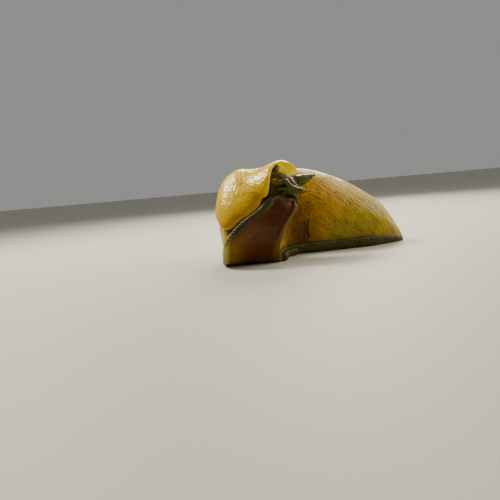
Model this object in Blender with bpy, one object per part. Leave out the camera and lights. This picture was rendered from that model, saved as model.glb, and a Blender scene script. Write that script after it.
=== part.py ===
"""A banana slug, hunched up at rest with its front end reared and its sole turned to the viewer.

Life size. The slug's rear body lies along X with the tail at +X. At the left it turns towards -Y,
lifts its front off the floor and leans back to +X, so that the front of the sole faces -Y.
Sizes below are in millimetres and are turned to metres once, where each mesh is made.
"""

from collections import namedtuple
from math import ceil, cos, pi, sin

import bmesh
import bpy
from mathutils import Vector
from mathutils.bvhtree import BVHTree

MM = 0.001
GAP = 0.3  # clear space between neighbouring pieces

# One cross-section of the body. sole is the middle of the sole, and left points from there to the
# slug's own left edge of it. back is the top of the cross-section. flank is half the width of the
# body wall and foot half the width of the sole. rim is the height of the foot fringe. keel is 1 for
# a round back and more for a ridged one.
Section = namedtuple("Section", "sole left back flank foot rim keel")

NEAR = (0.0, -1.0, 0.0)
REAR_LINE = [
    Section((44.0, 9.0, 0.0), NEAR, (43.9, 9.0, 2.6), 1.5, 1.7, 1.5, 1.5),
    Section((39.0, 9.0, 0.0), NEAR, (39.2, 9.0, 11.4), 6.2, 6.0, 3.2, 1.5),
    Section((30.5, 8.8, 0.0), NEAR, (31.6, 8.8, 20.4), 11.0, 10.0, 4.2, 1.35),
    Section((18.0, 8.4, 0.0), NEAR, (17.4, 8.6, 29.4), 14.2, 12.8, 4.6, 1.15),
    Section((6.0, 7.4, 0.0), (0.1, -1.0, 0.0), (5.0, 8.0, 34.6), 15.2, 13.8, 4.6, 1.0),
    Section((-6.0, 5.6, 0.0), (0.3, -1.0, 0.0), (-5.0, 7.4, 35.8), 15.0, 13.4, 4.6, 1.0),
]
TURN_LINE = [
    Section((-15.5, 1.4, 0.0), (0.6, -0.8, 0.0), (-13.5, 5.6, 33.6), 13.8, 12.6, 4.2, 1.0),
    Section((-21.5, -5.5, 0.0), (0.87, -0.5, 0.0), (-20.5, 1.6, 29.6), 12.8, 11.8, 3.6, 1.0),
    Section((-23.8, -13.5, 0.0), (0.97, -0.22, 0.0), (-24.8, -2.6, 27.4), 11.6, 11.2, 3.2, 1.0),
    Section((-24.3, -20.5, 0.0), (1.0, 0.0, 0.0), (-27.2, -6.0, 27.0), 10.8, 10.8, 3.0, 1.0),
]
FRONT_LINE = [
    Section((-24.2, -27.2, 1.4), (0.98, 0.15, -0.05), (-28.0, -8.2, 28.4), 10.2, 10.5, 2.8, 1.0),
    Section((-23.7, -30.7, 7.6), (0.95, 0.24, -0.16), (-27.6, -9.4, 30.6), 9.8, 10.1, 2.6, 1.0),
    Section((-19.7, -31.1, 14.0), (0.92, 0.30, -0.22), (-25.6, -10.4, 33.0), 9.8, 8.7, 2.5, 1.0),
    Section((-13.8, -28.8, 18.9), (0.88, 0.37, -0.30), (-22.4, -11.6, 34.6), 9.2, 6.6, 2.4, 1.0),
    Section((-10.8, -26.9, 22.8), (0.85, 0.43, -0.31), (-17.4, -13.6, 34.2), 8.3, 6.0, 2.2, 1.0),
]
# The hood of the mantle runs on past the end of the foot, over the head.
HOOD_LINE = [
    Section((-9.7, -24.7, 24.9), (0.70, 0.66, -0.24), (-13.0, -15.2, 34.6), 7.5, 5.2, 1.5, 1.0),
    Section((-8.0, -23.0, 27.2), (0.42, 0.79, -0.44), (-8.8, -16.0, 34.8), 6.6, 5.0, 2.0, 1.0),
    Section((-5.0, -21.8, 27.2), (0.18, 0.87, -0.45), (-5.2, -16.6, 33.5), 5.8, 4.4, 2.0, 1.0),
    Section((-2.6, -21.6, 25.6), (0.00, 0.90, -0.43), (-2.6, -17.0, 31.0), 5.0, 4.0, 2.0, 1.0),
]
LINE = REAR_LINE + TURN_LINE + FRONT_LINE + HOOD_LINE
WIDEST_SHARE = 0.36  # where the body wall is widest, as a share of the height from groove to back
FRINGE_BULGE, FRINGE_FACETS = 0.3, 6  # how far the fringe swells beyond the sole, as a share of rim
GROOVE_INSET = 1.0  # how far the body wall starts inside the edge of the foot
FACET, FRONT_FACET = 2.6, 1.5  # length of one facet along the body, and along its front
LOW_FACETS, HIGH_FACETS = 5, 11  # facets of the body wall below and above its widest place

# Where the body and the foot are parted, as numbers of the sections above
BODY_CUTS = {"tail": (0, 2.45), "rear_body": (2.45, 4.6), "mid_body": (4.6, 6.9),
             "turn_body": (6.9, 10.2), "front_body": (10.2, 14.2)}
FOOT_CUTS = {"foot_tail": (0, 2.45), "foot_rear": (2.45, 5.4), "foot_turn": (5.4, 9.3),
             "foot_front": (9.3, 15.0)}
NECK_FROM, NECK_SHARE = 13.2, 0.78  # where the neck starts to narrow, and its width at its end
RIB_PITCH, RIB_DEPTH = 3.0, 0.22  # coarse ribs of the foot fringe, and how far they stand out
FOOT_TIP = 3.6  # length of the rounded front end of the foot
BLUNT = 0.82  # how near the rounded front end of the foot comes to a point
TIP_SLICES = (2.6, 1.7, 1.0, 0.45)  # distances from that end where the foot is sliced

# The mantle at a few places along the body. right and left say how far its two edges reach down
# the body wall, from 0 at the back to 1 at the groove. hollow is the space that the hood leaves
# over the head, and thick the thickness of the mantle.
Lap = namedtuple("Lap", "number right left hollow thick")
MANTLE = [
    Lap(10.45, 0.14, 0.12, 0.5, 1.0),
    Lap(10.7, 0.42, 0.32, 0.5, 1.5),
    Lap(11.0, 0.68, 0.46, 0.5, 1.8),
    Lap(11.5, 0.88, 0.54, 0.3, 2.0),
    Lap(12.2, 0.92, 0.56, 0.3, 2.1),
    Lap(13.2, 0.93, 0.56, 0.3, 2.0),
    Lap(14.0, 0.90, 0.48, 0.4, 1.9),
    Lap(14.6, 0.90, 0.38, 1.0, 1.7),
    Lap(15.0, 0.88, 0.31, 1.6, 1.5),
    Lap(15.5, 0.78, 0.28, 2.2, 1.3),
    Lap(15.8, 0.56, 0.28, 2.3, 1.2),
    Lap(16.1, 0.44, 0.28, 2.4, 1.1),
    Lap(16.6, 0.32, 0.26, 2.4, 1.1),
    Lap(17.7, 0.12, 0.14, 2.2, 0.9),
]
MANTLE_FACETS = 18  # facets across the mantle
MANTLE_STEP = 1.1  # length of one facet along the mantle
REAR_STEPS = 4  # rings that replace the first one of these facets, at the round rear edge

# The head at a few places from the neck to the snout. wide is its half width along left, and high
# and low say how far it reaches from middle along up and against it.
Ring = namedtuple("Ring", "middle left up wide high low")
HEAD = [
    Ring((-11.6, -21.2, 30.7), (0.64, 0.65, -0.41), (-0.20, 0.62, 0.76), 5.5, 5.2, 3.1),
    Ring((-9.6, -21.5, 30.3), (0.40, 0.80, -0.46), (-0.10, 0.54, 0.84), 5.0, 3.6, 3.6),
    Ring((-7.7, -21.7, 29.5), (0.18, 0.87, -0.46), (0.00, 0.48, 0.88), 4.3, 2.9, 3.8),
    Ring((-6.1, -21.9, 28.7), (0.05, 0.88, -0.47), (0.00, 0.47, 0.88), 3.2, 2.3, 3.5),
    Ring((-5.1, -22.0, 28.2), (0.00, 0.88, -0.47), (0.00, 0.47, 0.88), 1.8, 1.5, 2.4),
    Ring((-4.7, -22.1, 28.0), (0.00, 0.88, -0.47), (0.00, 0.47, 0.88), 0.7, 0.6, 1.1),
]
HEAD_RINGS = 9
HEAD_OPEN = 0.94  # the share of each ring that its points take up, as in the body wall

# The tentacles, each drawn through a few middles with a radius
TENTACLES = {
    "upper_tentacle_right": [
        ((-13.3, -25.4, 30.6), 1.2), ((-12.9, -26.4, 30.3), 1.2), ((-11.9, -27.1, 30.1), 0.95),
        ((-10.6, -27.5, 30.6), 1.0), ((-9.5, -27.6, 30.4), 1.0), ((-8.6, -27.5, 29.4), 1.0),
        ((-7.3, -27.3, 27.9), 1.1), ((-5.6, -27.0, 26.9), 1.2), ((-4.3, -26.8, 26.6), 1.15),
    ],
    "upper_tentacle_left": [
        ((-6.8, -18.2, 30.6), 1.6), ((-5.4, -17.6, 30.5), 2.1), ((-3.6, -17.2, 30.4), 2.2),
        ((-1.6, -17.0, 30.7), 2.0), ((-0.2, -16.7, 31.1), 1.6), ((0.8, -16.5, 31.4), 1.15),
    ],
    "lower_tentacle_right": [
        ((-5.0, -23.6, 28.0), 0.8), ((-3.8, -24.3, 27.0), 0.75), ((-2.8, -24.6, 26.0), 0.6),
    ],
    "lower_tentacle_left": [
        ((-4.8, -20.6, 27.8), 0.8), ((-3.6, -20.1, 26.9), 0.75), ((-2.6, -19.9, 25.9), 0.6),
    ],
}
# The fold of skin above the mouth, which lies against the head and runs down beside the foot
LIPS = [
    ((-12.8, -26.3, 27.9), 0.5), ((-10.1, -26.0, 27.8), 0.65), ((-8.6, -25.8, 27.2), 0.65),
    ((-7.3, -25.3, 26.1), 0.65), ((-6.2, -24.6, 24.9), 0.65), ((-5.6, -24.1, 23.9), 0.55),
]
ROUND_SIDES = 14
ROUND_STEPS = 3  # rings of a round piece for each place that it is drawn through
ROOT_SHARES = (0.4, 1.0)  # widths of the two rings that close its root, as shares of the root's own
TIP_STEPS, TIP_ROOM = 4, 0.6  # rings that round off its end, and how blunt the last one leaves it
EYE_RADIUS, EYE_RINGS = 0.5, 7


def along(values, knots, at):
    """A smooth curve through the values, read at one place along the knots."""
    last = len(knots) - 1
    i = max(k for k in range(last) if knots[k] <= at or k == 0)

    def slope(k):
        low, high = max(k - 1, 0), min(k + 1, last)
        return (values[high] - values[low]) / (knots[high] - knots[low])

    span = knots[i + 1] - knots[i]
    t = (at - knots[i]) / span
    return (
        values[i] * (2 * t**3 - 3 * t**2 + 1)
        + slope(i) * span * (t**3 - 2 * t**2 + t)
        + values[i + 1] * (3 * t**2 - 2 * t**3)
        + slope(i + 1) * span * (t**3 - t**2)
    )


def knots_of(points):
    """The distance travelled at each point."""
    found = [0.0]
    for a, b in zip(points, points[1:]):
        found.append(found[-1] + (b - a).length)
    return found


KNOTS = knots_of([Vector(s.sole).lerp(Vector(s.back), 0.3) for s in LINE])


def place(number):
    """The distance from the tail of a section, whose number may lie between two sections."""
    whole = min(int(number), len(KNOTS) - 2)
    return KNOTS[whole] + (KNOTS[whole + 1] - KNOTS[whole]) * (number - whole)


class Slice:
    """The body's cross-section at one distance from the tail, moved by shift along the body."""

    def __init__(self, at, shift=0.0):
        self.at = at
        ahead = self.on_sole(at + 0.5) - self.on_sole(at - 0.5)
        self.left = self.read("left", Vector).normalized()
        self.normal = ahead.cross(self.left).normalized()
        self.back = self.read("back", Vector)
        self.sole = self.on_sole(at)
        self.flank, self.foot = self.read("flank"), self.read("foot")
        self.rim, self.keel = self.read("rim"), self.read("keel")
        across = self.left.cross(self.sole - self.back).normalized()
        self.across = across if across.dot(ahead) > 0 else -across
        self.sole = self.sole + self.across * shift
        self.back = self.back + self.across * shift
        self.groove = self.sole + self.normal * (self.rim + GAP / 2)

    def read(self, field, kind=float):
        return along([kind(getattr(s, field)) for s in LINE], KNOTS, self.at)

    def on_sole(self, at):
        found = along([Vector(s.sole) for s in LINE], KNOTS, min(max(at, 0.0), KNOTS[-1]))
        found.z = max(found.z, 0.0)
        return found

    def wall(self, turn, proud=0.0):
        """A point of the body wall. turn runs from -1 at the right groove over the back at 0 to 1
        at the left groove. proud is how far the point stands off the wall."""
        side = 1.0 if turn > 0 else -1.0
        down = abs(turn) * (LOW_FACETS + HIGH_FACETS)
        start = self.foot - GROOVE_INSET
        if down <= HIGH_FACETS:
            angle = pi / 2 * (1 - down / HIGH_FACETS)
            u = (self.flank + proud) * max(cos(angle), 0.0) ** self.keel
            share = WIDEST_SHARE + (1 - WIDEST_SHARE) * sin(angle)
            lift = proud * sin(angle)
        else:
            angle = pi / 2 * (down - HIGH_FACETS) / LOW_FACETS
            u = start + (self.flank - start) * cos(angle) + proud
            share = WIDEST_SHARE * (1 - sin(angle))
            lift = 0.0
        spine = self.back - self.groove
        return self.groove + spine * share + spine.normalized() * lift + self.left * u * side


def stretch(low, high, facet, near_end=()):
    """Slices a facet apart from one place to another, with half a gap left at both ends. near_end
    are distances from the far end where slices come closer together."""
    first, fine = ceil(low / facet + 0.3), [high - step for step in near_end]
    stops = [low] + [k * facet for k in range(first, ceil(high / facet - 0.3))]
    stops = [stop for stop in stops if not fine or stop < fine[0] - facet / 3] + fine + [high]
    shifts = {0: GAP / 2, len(stops) - 1: -GAP / 2}
    return [Slice(stop, shifts.get(i, 0.0)) for i, stop in enumerate(stops)]


def solid(name, rings, material, crescent=False):
    """A closed solid through rings of points, which all have the same number of points. A ring is a
    crescent where its second half runs back along its first half."""
    mesh = bmesh.new()
    rows = [[mesh.verts.new(Vector(p) * MM) for p in ring] for ring in rings]
    size = len(rows[0])
    for a, b in zip(rows, rows[1:]):
        for i in range(size):
            mesh.faces.new((a[i], a[(i + 1) % size], b[(i + 1) % size], b[i]))
    for row in (rows[0], rows[-1]):
        if crescent:
            for i in range(size // 2 - 1):
                mesh.faces.new((row[i], row[i + 1], row[size - 2 - i], row[size - 1 - i]))
            continue
        middle = mesh.verts.new(sum((v.co for v in row), Vector()) / size)
        for i in range(size):
            mesh.faces.new((row[i], row[(i + 1) % size], middle))
    bmesh.ops.recalc_face_normals(mesh, faces=mesh.faces)
    if mesh.calc_volume(signed=True) < 0:
        bmesh.ops.reverse_faces(mesh, faces=mesh.faces)
    bmesh.ops.triangulate(mesh, faces=[f for f in mesh.faces if len(f.verts) > 3])
    data = bpy.data.meshes.new(name)
    mesh.to_mesh(data)
    mesh.free()
    data.shade_smooth()
    data.set_sharp_from_angle(angle=pi / 4)
    data.materials.append(material)
    found = bpy.data.objects.new(name, data)
    bpy.context.scene.collection.objects.link(found)
    return found


def skin(name, colour, roughness):
    material = bpy.data.materials.new(name)
    material.use_nodes = True
    shader = material.node_tree.nodes["Principled BSDF"]
    shader.inputs["Base Color"].default_value = (*colour, 1.0)
    shader.inputs["Roughness"].default_value = roughness
    return material


def wall_ring(s):
    """The outline of the body wall, narrowed towards the neck."""
    sides = LOW_FACETS + HIGH_FACETS
    points = [s.wall(i / sides) for i in range(-sides, sides + 1)]
    middle = s.groove.lerp(s.back, 0.5)
    start, end = place(NECK_FROM), place(BODY_CUTS["front_body"][1])
    near_end = min(max((s.at - start) / (end - start), 0.0), 1.0)
    share = 1 - (1 - NECK_SHARE) * near_end**2
    return [middle.lerp(p, share) for p in points]


def body_length(name, low, high, material):
    facet = FRONT_FACET if name == "front_body" else FACET
    return solid(name, [wall_ring(s) for s in stretch(place(low), place(high), facet)], material)


def foot_half(s):
    """Half the width of the sole, which narrows at the rounded front end of the foot."""
    tip = max((s.at - place(FOOT_CUTS["foot_front"][1]) + FOOT_TIP) / FOOT_TIP, 0.0)
    return s.foot * (1 - (BLUNT * tip) ** 2.6) ** 0.5


def foot_ring(s):
    """The outline of the foot: a flat sole and a rounded fringe, with a flat top under the body."""
    top, half = s.rim - GAP / 2, foot_half(s)
    bulge = FRINGE_BULGE * top + RIB_DEPTH * cos(2 * pi * s.at / RIB_PITCH)
    angles = [pi * i / FRINGE_FACETS for i in range(FRINGE_FACETS + 1)]
    fringe = [(half + bulge * sin(a), top * (1 - cos(a)) / 2) for a in angles]
    left = [(half * 0.5, 0.0)] + fringe + [(half * 0.5, top)]
    right = [(-u, v) for u, v in left[::-1]]
    return [s.sole + s.left * u + s.normal * v for u, v in [(0.0, 0.0)] + left + [(0.0, top)] + right]


def foot_length(name, low, high, material):
    near_end = TIP_SLICES if name == "foot_front" else ()
    slices = stretch(place(low), place(high), RIB_PITCH / 2, near_end)
    return solid(name, [foot_ring(s) for s in slices], material)


def lap_at(number):
    """The mantle's measures at one place along the body."""
    knots = [lap.number for lap in MANTLE]
    return Lap(*(along([getattr(lap, field) for lap in MANTLE], knots, number) for field in Lap._fields))


def mantle_ring(number):
    """The outline of the mantle: over its outside from right to left, and back along its inside."""
    s, lap = Slice(place(number)), lap_at(number)
    outside, inside = [], []
    for i in range(MANTLE_FACETS + 1):
        share = i / MANTLE_FACETS
        turn = -lap.right + (lap.right + lap.left) * share
        edge = sin(pi * share) ** 0.5 if 0 < i < MANTLE_FACETS else 0.0
        inside.append(s.wall(turn, GAP + lap.hollow))
        outside.append(s.wall(turn, GAP + lap.hollow + lap.thick * (0.4 + 0.6 * edge)))
    return outside + inside[::-1]


def mantle(material):
    first, last = MANTLE[0].number, MANTLE[-1].number
    count = ceil((place(last) - place(first)) / MANTLE_STEP)
    numbers = [first + (last - first) * i / count for i in range(count + 1)]
    fine = [numbers[0] + (numbers[1] - numbers[0]) * k / REAR_STEPS for k in range(1, REAR_STEPS)]
    numbers = numbers[:1] + fine + numbers[1:]
    return solid("mantle", [mantle_ring(number) for number in numbers], material, crescent=True)


def frame_along(points, knots, at, reach=0.3):
    """A place on a line through points, and the way the line heads there."""
    ahead = along(points, knots, min(at + reach, knots[-1]))
    behind = along(points, knots, max(at - reach, 0.0))
    return along(points, knots, at), (ahead - behind).normalized()


def head_rings():
    """The head, from the end of the neck to the snout."""
    sides = LOW_FACETS + HIGH_FACETS
    rings = [wall_ring(Slice(place(BODY_CUTS["front_body"][1]), GAP / 2))]
    knots = knots_of([Vector(r.middle) for r in HEAD])
    measures = [[Vector(v) if isinstance(v, tuple) else v for v in values] for values in zip(*HEAD)]
    for k in range(HEAD_RINGS + 1):
        at = knots[-1] * k / HEAD_RINGS
        middle, left, up, wide, high, low = (along(values, knots, at) for values in measures)
        ring = []
        for i in range(-sides, sides + 1):
            angle = pi * HEAD_OPEN * i / sides
            rise = cos(angle) * (high if cos(angle) > 0 else low)
            ring.append(middle + up.normalized() * rise + left.normalized() * wide * sin(angle))
        rings.append(ring)
    return rings


def surface_of(piece):
    """The surface of a piece, in millimetres, to seat other pieces on."""
    corners = [vertex.co / MM for vertex in piece.data.vertices]
    return BVHTree.FromPolygons(corners, [face.vertices[:] for face in piece.data.polygons])


def lifted(point, surfaces, always=False):
    """The point, moved to a gap off the surfaces where it lies nearer to them than that."""
    for surface in surfaces:
        hit, normal, *_ = surface.find_nearest(point)
        if always or (point - hit).dot(normal) < GAP:
            point = hit + normal * GAP
    return point


def rooted(rings, surface):
    """The rings of a round piece, with its root spread on the surface that it grows from."""
    middle = sum(rings[0], Vector()) / len(rings[0])
    root = []
    for share in ROOT_SHARES:
        spread = [middle.lerp(point, share) for point in rings[0]]
        root.append([lifted(point, [surface], True) for point in spread])
    return root + clear_of(rings[1:], [surface])


def clear_of(rings, surfaces):
    """The rings, with every point at least a gap off the surfaces."""
    return [[lifted(point, surfaces) for point in ring] for ring in rings]


def round_rings(course):
    """Rings of a round piece, with a rounded far end."""
    middles, radii = [Vector(m) for m, r in course], [r for m, r in course]
    knots = knots_of(middles)
    heading = frame_along(middles, knots, 0.0)[1]
    side = heading.orthogonal().normalized()
    end = knots[-1]
    count = ROUND_STEPS * len(course)
    stops = [end * k / count for k in range(count + 1)]
    rings = []
    for at in stops:
        middle, heading = frame_along(middles, knots, at)
        side = (side - heading * side.dot(heading)).normalized()
        rings.append((middle, heading, side, along(radii, knots, at)))
    middle, heading, side, radius = rings[-1]
    for k in range(1, TIP_STEPS + 1):
        turn = pi / 2 * k / (TIP_STEPS + TIP_ROOM)
        rings.append((middle + heading * radius * sin(turn), heading, side, radius * cos(turn)))
    found = []
    for middle, heading, side, radius in rings:
        other = heading.cross(side)
        angles = [2 * pi * i / ROUND_SIDES for i in range(ROUND_SIDES)]
        found.append([middle + side * radius * cos(a) + other * radius * sin(a) for a in angles])
    return found


def eye(name, course, material):
    """A small round eye just off the tip of a tentacle."""
    middles, radii = [Vector(m) for m, r in course], [r for m, r in course]
    heading = frame_along(middles, knots_of(middles), knots_of(middles)[-1])[1]
    middle = middles[-1] + heading * (radii[-1] + GAP + EYE_RADIUS)
    side = heading.orthogonal().normalized()
    other = heading.cross(side)
    rings = []
    for k in range(1, EYE_RINGS + 1):
        turn = pi * k / (EYE_RINGS + 1)
        radius = EYE_RADIUS * sin(turn)
        angles = [2 * pi * i / ROUND_SIDES for i in range(ROUND_SIDES)]
        rings.append([
            middle - heading * EYE_RADIUS * cos(turn) + side * radius * cos(a) + other * radius * sin(a)
            for a in angles
        ])
    return solid(name, rings, material)


def main():
    for old in list(bpy.data.objects):
        bpy.data.objects.remove(old)
    body_skin = skin("body_skin", (0.47, 0.30, 0.03), 0.35)
    mantle_skin = skin("mantle_skin", (0.60, 0.36, 0.02), 0.3)
    foot_skin = skin("foot_skin", (0.10, 0.06, 0.02), 0.35)
    head_skin = skin("head_skin", (0.16, 0.15, 0.10), 0.35)
    eye_black = skin("eye_black", (0.01, 0.01, 0.01), 0.1)
    for name, (low, high) in BODY_CUTS.items():
        body_length(name, low, high, body_skin)
    for name, (low, high) in FOOT_CUTS.items():
        foot_length(name, low, high, foot_skin)
    mantle(mantle_skin)
    head = surface_of(solid("head", head_rings(), head_skin))
    for name, course in TENTACLES.items():
        solid(name, rooted(round_rings(course), head), head_skin)
    foot = surface_of(bpy.data.objects["foot_front"])
    solid("lips", clear_of(round_rings(LIPS), [head, foot]), head_skin)
    eye("eye_right", TENTACLES["upper_tentacle_right"], eye_black)
    eye("eye_left", TENTACLES["upper_tentacle_left"], eye_black)


main()
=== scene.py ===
# A banana slug, life size, hunched up at rest, with its front end reared and its sole in view.
# Its skin is one closed surface, melted together from lofts along the body, with its wrinkles,
# tubercles and fringe grooves as real relief. The eyes stay separate.

from math import cos, pi, radians, sin

import bpy
import numpy as np
from mathutils import Matrix, Vector
from mathutils.bvhtree import BVHTree


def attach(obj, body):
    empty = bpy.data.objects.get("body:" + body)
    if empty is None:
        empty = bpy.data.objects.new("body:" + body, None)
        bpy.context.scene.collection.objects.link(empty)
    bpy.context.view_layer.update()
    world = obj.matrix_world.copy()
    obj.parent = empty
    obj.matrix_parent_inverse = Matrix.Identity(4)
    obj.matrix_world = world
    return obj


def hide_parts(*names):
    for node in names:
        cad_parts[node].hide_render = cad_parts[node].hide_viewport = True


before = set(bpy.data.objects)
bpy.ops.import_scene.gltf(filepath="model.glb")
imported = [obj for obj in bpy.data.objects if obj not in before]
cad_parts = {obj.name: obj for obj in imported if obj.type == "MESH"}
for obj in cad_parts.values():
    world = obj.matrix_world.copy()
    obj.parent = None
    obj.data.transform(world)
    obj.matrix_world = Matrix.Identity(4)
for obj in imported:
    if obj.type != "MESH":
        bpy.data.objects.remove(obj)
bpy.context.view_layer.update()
mm = 0.001


# Small helpers for curves, noise and meshes. All lengths below are in millimetres.

def smoothStep(low, high, value):
    t = np.clip((value - low) / (high - low), 0, 1)
    return t * t * (3 - 2 * t)


def bell(value, middle, width):
    # 1 at the middle, fading away to both sides
    return np.exp(-((value - middle) / width) ** 2)


def smoothLine(knots, values, at):
    # a smooth curve through the values, read at many places along the knots
    knots, values, at = (np.asarray(v, float) for v in (knots, values, at))
    flat = values.ndim == 1
    values = values.reshape(len(knots), -1)
    k = np.arange(len(knots))
    low, high = np.maximum(k - 1, 0), np.minimum(k + 1, len(knots) - 1)
    slope = (values[high] - values[low]) / (knots[high] - knots[low])[:, None]
    i = np.clip(np.searchsorted(knots, at, side="right") - 1, 0, len(knots) - 2)
    span = (knots[i + 1] - knots[i])[:, None]
    t = (at - knots[i])[:, None] / span
    found = (
        values[i] * (2 * t**3 - 3 * t**2 + 1)
        + slope[i] * span * (t**3 - 2 * t**2 + t)
        + values[i + 1] * (3 * t**2 - 2 * t**3)
        + slope[i + 1] * span * (t**3 - t**2)
    )
    return found[:, 0] if flat else found


def unit(v):
    return v / np.maximum(np.linalg.norm(v, axis=-1, keepdims=True), 1e-9)


def wayAlong(points):
    # how far each point of a line is from its first point
    return np.concatenate([[0], np.cumsum(np.linalg.norm(np.diff(points, axis=0), axis=1))])


def arcLengths(rings, middle):
    # the way round each ring from its middle point
    steps = np.linalg.norm(np.diff(rings, axis=1), axis=2)
    way = np.concatenate([np.zeros((len(rings), 1)), np.cumsum(steps, axis=1)], axis=1)
    return way - way[:, middle:middle + 1]


def scatter(*cells, seed):
    # an even spread of numbers from 0 to 1, one for each whole-numbered cell
    h = np.full(np.shape(cells[0]), seed * 2654435761 % 2**32, np.uint64)
    for cell, prime in zip(cells, (374761393, 668265263, 2147483647)):
        h = (h + cell.astype(np.int64).astype(np.uint64) * np.uint64(prime)) & np.uint64(0xFFFFFFFF)
        h = ((h ^ (h >> np.uint64(13))) * np.uint64(1274126177)) & np.uint64(0xFFFFFFFF)
    return (h ^ (h >> np.uint64(16))).astype(float) / 2**32


def softNoise(points, size, seed):
    # smooth noise from -1 to 1, with lumps of about that size
    p = np.asarray(points, float) / size
    whole = np.floor(p)
    t = smoothStep(0, 1, p - whole)
    found = np.zeros(len(p))
    dims = p.shape[1]
    for corner in range(2**dims):
        weight, cell = np.ones(len(p)), []
        for d in range(dims):
            up = corner >> d & 1
            weight = weight * (t[:, d] if up else 1 - t[:, d])
            cell.append(whole[:, d] + up)
        found += weight * scatter(*cell, seed=seed)
    return found * 2 - 1


def cellNoise(x, y, seed, jitter=0.85):
    # distances to the nearest and the next cell middle, for tubercles with grooves between them
    wholeX, wholeY = np.floor(x), np.floor(y)
    first = second = np.full(len(x), 9.0)  # more than any distance found
    for i in (-1, 0, 1):
        for j in (-1, 0, 1):
            cx, cy = wholeX + i, wholeY + j
            px = cx + 0.5 + jitter * (scatter(cx, cy, seed=seed) - 0.5)
            py = cy + 0.5 + jitter * (scatter(cx, cy, seed=seed + 1) - 0.5)
            d = np.hypot(x - px, y - py)
            second = np.minimum(second, np.maximum(first, d))
            first = np.minimum(first, d)
    return first, second


farIn = 9.0  # the mark of a point that has no free edge near it
kinds = {"body": 0, "foot": 1, "mantle": 2, "head": 3, "tentacle": 4, "lips": 5}
parts = []


def loft(kind, rings, along, around, edge=farIn, crescent=False):
    # adds a closed solid through rings of points, with four marks for each point: what it belongs
    # to, how far along the body it lies, how far round the body, and how far in from a free edge.
    # The ends of a crescent are closed across it, and others from their middle.
    count, size = rings.shape[:2]
    points = rings.reshape(-1, 3)
    marks = [np.broadcast_to(mark, (count, size)) for mark in (kinds[kind], along, around, edge)]
    marks = np.stack(marks, -1).reshape(-1, 4)
    i, rows = np.arange(size), np.arange(count - 1)[:, None] * size
    a, b = rows + i, rows + (i + 1) % size
    faces = [np.stack(corners, -1).reshape(-1, 3)
             for corners in ((a, b, b + size), (a, b + size, a + size))]
    for first in (0, (count - 1) * size):
        if crescent:
            k = i[:size // 2 - 1]
            faces.append(first + np.stack([k, k + 1, size - 2 - k], -1))
            faces.append(first + np.stack([k, size - 2 - k, size - 1 - k], -1))
            continue
        middle = len(points)
        points = np.vstack([points, points[first:first + size].mean(0)])
        marks = np.vstack([marks, marks[first:first + size].mean(0)])
        faces.append(np.stack([first + i, first + (i + 1) % size, np.full(size, middle)], -1))
    parts.append((points, np.vstack(faces), marks))


def columnsOf(rows):
    return [np.array(column, float) for column in zip(*rows)]


def tube(course, sides, step, root=0, tip=0):
    # rings along a line through middles with radii, with a rounded far end
    middles, radii = columnsOf(course)
    middles[0] -= unit(middles[1] - middles[0]) * root
    middles[-1] += unit(middles[-1] - middles[-2]) * tip
    knots = wayAlong(middles)
    at = np.linspace(0, knots[-1], int(knots[-1] / step) + 2)
    middle, radius = smoothLine(knots, middles, at), smoothLine(knots, radii, at)
    ahead = unit(np.gradient(middle, axis=0))
    capTurns = np.linspace(0, pi / 2, 8)[1:] * 0.97  # the last ring stays open a little
    middle = np.vstack([middle, middle[-1] + ahead[-1] * radius[-1] * np.sin(capTurns)[:, None]])
    radius = np.concatenate([radius, radius[-1] * np.cos(capTurns)])
    ahead = np.vstack([ahead, np.repeat(ahead[-1:], len(capTurns), 0)])
    side, rings = Vector(ahead[0]).orthogonal().normalized(), []
    turns = np.linspace(0, 2 * pi, sides, endpoint=False)
    for m, r, forward in zip(middle, radius, ahead):
        forward = Vector(forward)
        side = (side - forward * side.dot(forward)).normalized()
        other = forward.cross(side)
        rings.append(m + r * (np.outer(np.cos(turns), side) + np.outer(np.sin(turns), other)))
    return np.array(rings), np.linspace(0, 1, len(rings))[:, None], turns[None, :]


# The body: cross-sections from the tail to the hood of the mantle

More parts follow.
